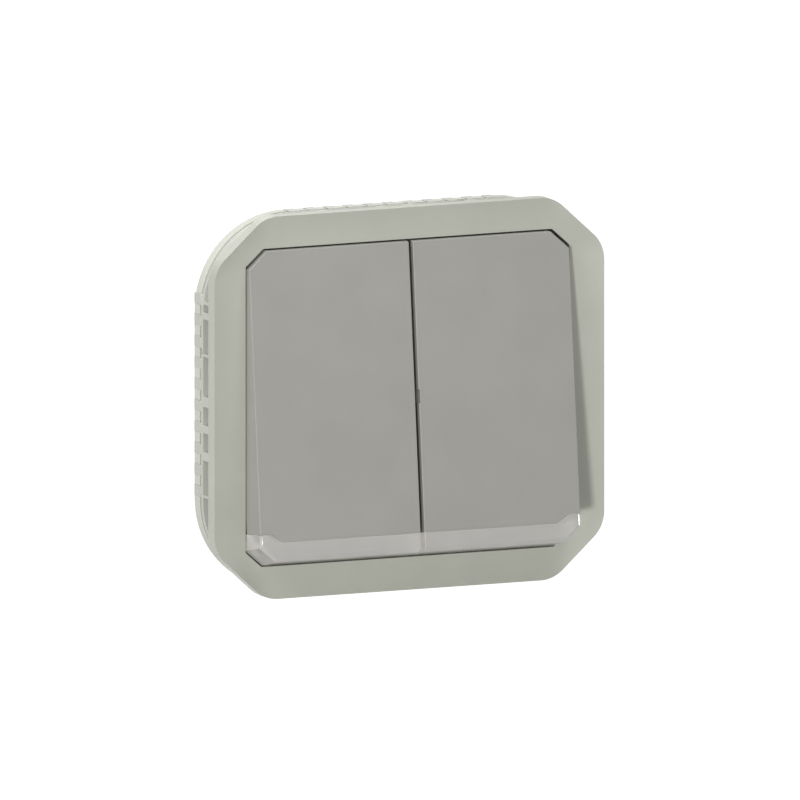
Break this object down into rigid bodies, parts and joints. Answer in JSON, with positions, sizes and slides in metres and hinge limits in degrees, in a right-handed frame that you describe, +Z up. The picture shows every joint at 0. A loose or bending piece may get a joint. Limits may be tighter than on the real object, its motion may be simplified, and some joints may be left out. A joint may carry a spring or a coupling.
{
  "type": "rocker wall switch",
  "caption": "Clip-in weatherproof wall switch with side-by-side rockers in a chamfered bezel, with a mechanism behind.",
  "frame": {"origin": "middle of the rear seating plane of the clip ring, where the switch meets its mounting support", "axes": "+Z up, +X to the right seen from the front, +Y into the wall; the front faces -Y"},
  "size_m": [0.0666, 0.0356, 0.0604],
  "materials": {
    "bezel": "satin",
    "ring": "satin",
    "seal": "matt",
    "rocker": "satin",
    "lens": "clear",
    "mechanism": "satin",
    "membrane": "matt",
    "acetal": "satin",
    "steel": "satin",
    "brass": "satin",
    "silver": "bright",
    "lever": "satin",
    "lamp": "gloss"
  },
  "bodies": {
    "root": {"front_bezel": "bezel", "clip_ring": "ring", "rim_seal": "seal", "weather_membrane": "membrane", "mechanism_cover": "mechanism", "housing": "mechanism", "housing_screws": "steel", "left_pivot_pin": "steel", "right_pivot_pin": "steel", "left_fixed_contacts": "silver", "right_fixed_contacts": "silver", "left_common_terminal": "brass", "right_common_terminal": "brass", "left_upper_terminal": "brass", "right_upper_terminal": "brass", "left_lower_terminal": "brass", "right_lower_terminal": "brass", "left_common_clamp": "steel", "right_common_clamp": "steel", "left_upper_clamp": "steel", "right_upper_clamp": "steel", "left_lower_clamp": "steel", "right_lower_clamp": "steel", "left_locator_lamp": "lamp", "right_locator_lamp": "lamp"},
    "left_rocker_body": {"left_rocker": "rocker", "left_lens": "lens", "left_carrier": "mechanism", "left_plunger_spring": "steel"},
    "left_plunger_body": {"left_plunger": "acetal"},
    "left_seesaw_body": {"left_seesaw": "brass", "left_moving_contacts": "silver"},
    "left_common_lever_body": {"left_common_lever": "lever"},
    "left_upper_lever_body": {"left_upper_lever": "lever"},
    "left_lower_lever_body": {"left_lower_lever": "lever"},
    "right_rocker_body": {"right_rocker": "rocker", "right_lens": "lens", "right_carrier": "mechanism", "right_plunger_spring": "steel"},
    "right_plunger_body": {"right_plunger": "acetal"},
    "right_seesaw_body": {"right_seesaw": "brass", "right_moving_contacts": "silver"},
    "right_common_lever_body": {"right_common_lever": "lever"},
    "right_upper_lever_body": {"right_upper_lever": "lever"},
    "right_lower_lever_body": {"right_lower_lever": "lever"}
  },
  "joints": [
    {"name": "left_rocker_hinge", "type": "hinge", "parent": "root", "child": "left_rocker_body", "pos_m": [-0.01365, -0.0048, 0], "axis": [1, 0, 0], "range_deg": [0, 11.6]},
    {"name": "right_rocker_hinge", "type": "hinge", "parent": "root", "child": "right_rocker_body", "pos_m": [0.01365, -0.0048, 0], "axis": [1, 0, 0], "range_deg": [0, 11.6]},
    {"name": "left_seesaw_hinge", "type": "hinge", "parent": "root", "child": "left_seesaw_body", "pos_m": [-0.01365, 0.0091, 0], "axis": [1, 0, 0], "range_deg": [-14, 0]},
    {"name": "right_seesaw_hinge", "type": "hinge", "parent": "root", "child": "right_seesaw_body", "pos_m": [0.01365, 0.0091, 0], "axis": [1, 0, 0], "range_deg": [-14, 0]},
    {"name": "left_plunger_slide", "type": "slide", "parent": "left_rocker_body", "child": "left_plunger_body", "axis": [0, -0.9949, 0.1011], "range_m": [0, 0.0008], "stiffness_N_per_m": 200, "springref_m": -0.0005, "deforming": ["left_plunger_spring"]},
    {"name": "right_plunger_slide", "type": "slide", "parent": "right_rocker_body", "child": "right_plunger_body", "axis": [0, -0.9949, 0.1011], "range_m": [0, 0.0008], "stiffness_N_per_m": 200, "springref_m": -0.0005, "deforming": ["right_plunger_spring"]},
    {"name": "left_common_lever_slide", "type": "slide", "parent": "root", "child": "left_common_lever_body", "axis": [0, -1, 0], "range_m": [0, 0.0015], "stiffness_N_per_m": 400, "springref_m": -0.0008, "deforming": ["left_common_clamp"]},
    {"name": "left_upper_lever_slide", "type": "slide", "parent": "root", "child": "left_upper_lever_body", "axis": [0, -1, 0], "range_m": [0, 0.0015], "stiffness_N_per_m": 400, "springref_m": -0.0008, "deforming": ["left_upper_clamp"]},
    {"name": "left_lower_lever_slide", "type": "slide", "parent": "root", "child": "left_lower_lever_body", "axis": [0, -1, 0], "range_m": [0, 0.0015], "stiffness_N_per_m": 400, "springref_m": -0.0008, "deforming": ["left_lower_clamp"]},
    {"name": "right_common_lever_slide", "type": "slide", "parent": "root", "child": "right_common_lever_body", "axis": [0, -1, 0], "range_m": [0, 0.0015], "stiffness_N_per_m": 400, "springref_m": -0.0008, "deforming": ["right_common_clamp"]},
    {"name": "right_upper_lever_slide", "type": "slide", "parent": "root", "child": "right_upper_lever_body", "axis": [0, -1, 0], "range_m": [0, 0.0015], "stiffness_N_per_m": 400, "springref_m": -0.0008, "deforming": ["right_upper_clamp"]},
    {"name": "right_lower_lever_slide", "type": "slide", "parent": "root", "child": "right_lower_lever_body", "axis": [0, -1, 0], "range_m": [0, 0.0015], "stiffness_N_per_m": 400, "springref_m": -0.0008, "deforming": ["right_lower_clamp"]}
  ],
  "couplings": [
    {"joint": "left_seesaw_hinge", "follows": "left_rocker_hinge", "ratio": -1.2069},
    {"joint": "right_seesaw_hinge", "follows": "right_rocker_hinge", "ratio": -1.2069}
  ]
}
